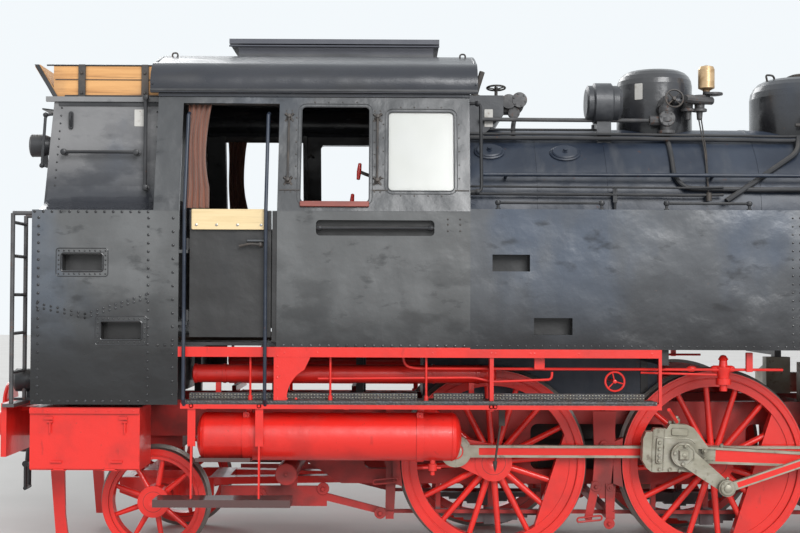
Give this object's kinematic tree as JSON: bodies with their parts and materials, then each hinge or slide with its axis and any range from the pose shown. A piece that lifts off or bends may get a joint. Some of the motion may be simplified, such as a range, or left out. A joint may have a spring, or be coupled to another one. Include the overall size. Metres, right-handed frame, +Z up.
{
  "type": "steam tank locomotive",
  "caption": "Steam tank locomotive with coupled drivers, swivelling end trucks, rods, opening cab doors, tank lids, smokebox door and toolbox flap",
  "frame": {"origin": "on the centre line at rail-head height, under the driving axle", "axes": "+X forward to the smokebox, +Y to the left, +Z up"},
  "size_m": [12.5, 3.108, 4.304],
  "materials": {
    "black_body": "satin",
    "red_running_gear": "satin",
    "bare_steel": "brushed",
    "pale_wood": "satin",
    "window_glass": "gloss"
  },
  "bodies": {
    "locomotive": {"main_frame": "red_running_gear", "frame_stretchers": "red_running_gear", "buffer_beams": "red_running_gear", "buffers": "red_running_gear", "draw_gear": "bare_steel", "axle_boxes": "red_running_gear", "brake_rigging": "red_running_gear", "running_boards": "red_running_gear", "cylinders": "black_body", "slide_bars": "bare_steel", "valve_gear": "bare_steel", "boiler": "black_body", "ashpan": "black_body", "smokebox": "black_body", "chimney": "black_body", "domes": "black_body", "feedwater_heater": "black_body", "boiler_fittings": "black_body", "pumps": "black_body", "side_tanks": "black_body", "rear_tank": "black_body", "coal_bunker": "black_body", "bunker_boards": "pale_wood", "cab_sides": "black_body", "cab_end_walls": "black_body", "cab_floor": "black_body", "cab_roof": "black_body", "cab_windows": "window_glass", "cab_controls": "black_body", "crew_seats": "pale_wood", "air_reservoirs": "red_running_gear", "toolbox": "red_running_gear", "headlamps": "black_body", "rear_ladders": "black_body", "handrails": "black_body"},
    "driving_wheels": {"driving_wheelset": "red_running_gear"},
    "front_coupled_wheels": {"front_coupled_wheelset": "red_running_gear"},
    "rear_coupled_wheels": {"rear_coupled_wheelset": "red_running_gear"},
    "right_side_rod": {"right_coupling_rod": "red_running_gear"},
    "left_side_rod": {"left_coupling_rod": "red_running_gear"},
    "right_piston": {"right_crosshead": "bare_steel"},
    "left_piston": {"left_crosshead": "bare_steel"},
    "right_drive_rod": {"right_main_rod": "bare_steel"},
    "left_drive_rod": {"left_main_rod": "bare_steel"},
    "leading_frame": {"leading_truck": "red_running_gear"},
    "leading_wheels": {"leading_wheelset": "red_running_gear"},
    "trailing_frame": {"trailing_truck": "red_running_gear"},
    "trailing_wheels": {"trailing_wheelset": "red_running_gear"},
    "right_door": {"right_cab_door": "black_body"},
    "left_door": {"left_cab_door": "black_body"},
    "front_door": {"smokebox_door": "black_body"},
    "box_flap": {"toolbox_flap": "red_running_gear"},
    "right_lid": {"right_tank_lid": "black_body"},
    "left_lid": {"left_tank_lid": "black_body"}
  },
  "joints": [
    {"name": "driving_axle_spin", "type": "hinge", "parent": "locomotive", "child": "driving_wheels", "pos_m": [0, 0, 0.75], "axis": [0, 1, 0], "continuous": true},
    {"name": "front_coupled_spin", "type": "hinge", "parent": "locomotive", "child": "front_coupled_wheels", "pos_m": [1.8, 0, 0.75], "axis": [0, 1, 0], "continuous": true},
    {"name": "rear_coupled_spin", "type": "hinge", "parent": "locomotive", "child": "rear_coupled_wheels", "pos_m": [-1.8, 0, 0.75], "axis": [0, 1, 0], "continuous": true},
    {"name": "right_side_rod_pin", "type": "hinge", "parent": "driving_wheels", "child": "right_side_rod", "pos_m": [-0.31385, -0.901, 0.85198], "axis": [0, 1, 0], "continuous": true},
    {"name": "right_crosshead_slide", "type": "slide", "parent": "locomotive", "child": "right_piston", "axis": [1, 0, 0], "range_m": [-0.014, 0.646]},
    {"name": "right_crosshead_pin", "type": "hinge", "parent": "right_piston", "child": "right_drive_rod", "pos_m": [2.08398, -1.025, 0.75], "axis": [0, 1, 0], "range_deg": [-10.34, 5.47]},
    {"name": "left_side_rod_pin", "type": "hinge", "parent": "driving_wheels", "child": "left_side_rod", "pos_m": [-0.10198, 0.901, 0.43615], "axis": [0, 1, 0], "continuous": true},
    {"name": "left_crosshead_slide", "type": "slide", "parent": "locomotive", "child": "left_piston", "axis": [1, 0, 0], "range_m": [-0.2074, 0.4526]},
    {"name": "left_crosshead_pin", "type": "hinge", "parent": "left_piston", "child": "left_drive_rod", "pos_m": [2.27741, 1.025, 0.75], "axis": [0, 1, 0], "range_deg": [-0.39, 15.42]},
    {"name": "leading_truck_swivel", "type": "hinge", "parent": "locomotive", "child": "leading_frame", "pos_m": [2.6, 0, 0.55], "axis": [0, 0, 1], "range_deg": [-2.3, 2.3]},
    {"name": "leading_axle_spin", "type": "hinge", "parent": "leading_frame", "child": "leading_wheels", "pos_m": [4.56, 0, 0.425], "axis": [0, 1, 0], "continuous": true},
    {"name": "trailing_truck_swivel", "type": "hinge", "parent": "locomotive", "child": "trailing_frame", "pos_m": [-2.6, 0, 0.55], "axis": [0, 0, 1], "range_deg": [-2.3, 2.3]},
    {"name": "trailing_axle_spin", "type": "hinge", "parent": "trailing_frame", "child": "trailing_wheels", "pos_m": [-4.56, 0, 0.425], "axis": [0, 1, 0], "continuous": true},
    {"name": "right_door_hinge", "type": "hinge", "parent": "locomotive", "child": "right_door", "pos_m": [-4.204, -1.455, 2.2], "axis": [0, 0, 1], "range_deg": [0, 85]},
    {"name": "left_door_hinge", "type": "hinge", "parent": "locomotive", "child": "left_door", "pos_m": [-4.204, 1.455, 2.2], "axis": [0, 0, -1], "range_deg": [0, 85]},
    {"name": "smokebox_door_hinge", "type": "hinge", "parent": "locomotive", "child": "front_door", "pos_m": [5.034, -0.696, 2.77], "axis": [0, 0, -1], "range_deg": [0, 110]},
    {"name": "toolbox_flap_hinge", "type": "hinge", "parent": "locomotive", "child": "box_flap", "pos_m": [-4.97, -1.476, 0.767], "axis": [1, 0, 0], "range_deg": [0, 100]},
    {"name": "right_lid_hinge", "type": "hinge", "parent": "locomotive", "child": "right_lid", "pos_m": [1.75, -0.928, 2.8406], "axis": [-1, 0, 0], "range_deg": [0, 95]},
    {"name": "left_lid_hinge", "type": "hinge", "parent": "locomotive", "child": "left_lid", "pos_m": [1.75, 0.928, 2.8406], "axis": [1, 0, 0], "range_deg": [0, 95]}
  ],
  "couplings": [
    {"joint": "front_coupled_spin", "follows": "driving_axle_spin", "ratio": 1},
    {"joint": "rear_coupled_spin", "follows": "driving_axle_spin", "ratio": 1},
    {"joint": "right_side_rod_pin", "follows": "driving_axle_spin", "ratio": -1},
    {"joint": "left_side_rod_pin", "follows": "driving_axle_spin", "ratio": -1}
  ]
}
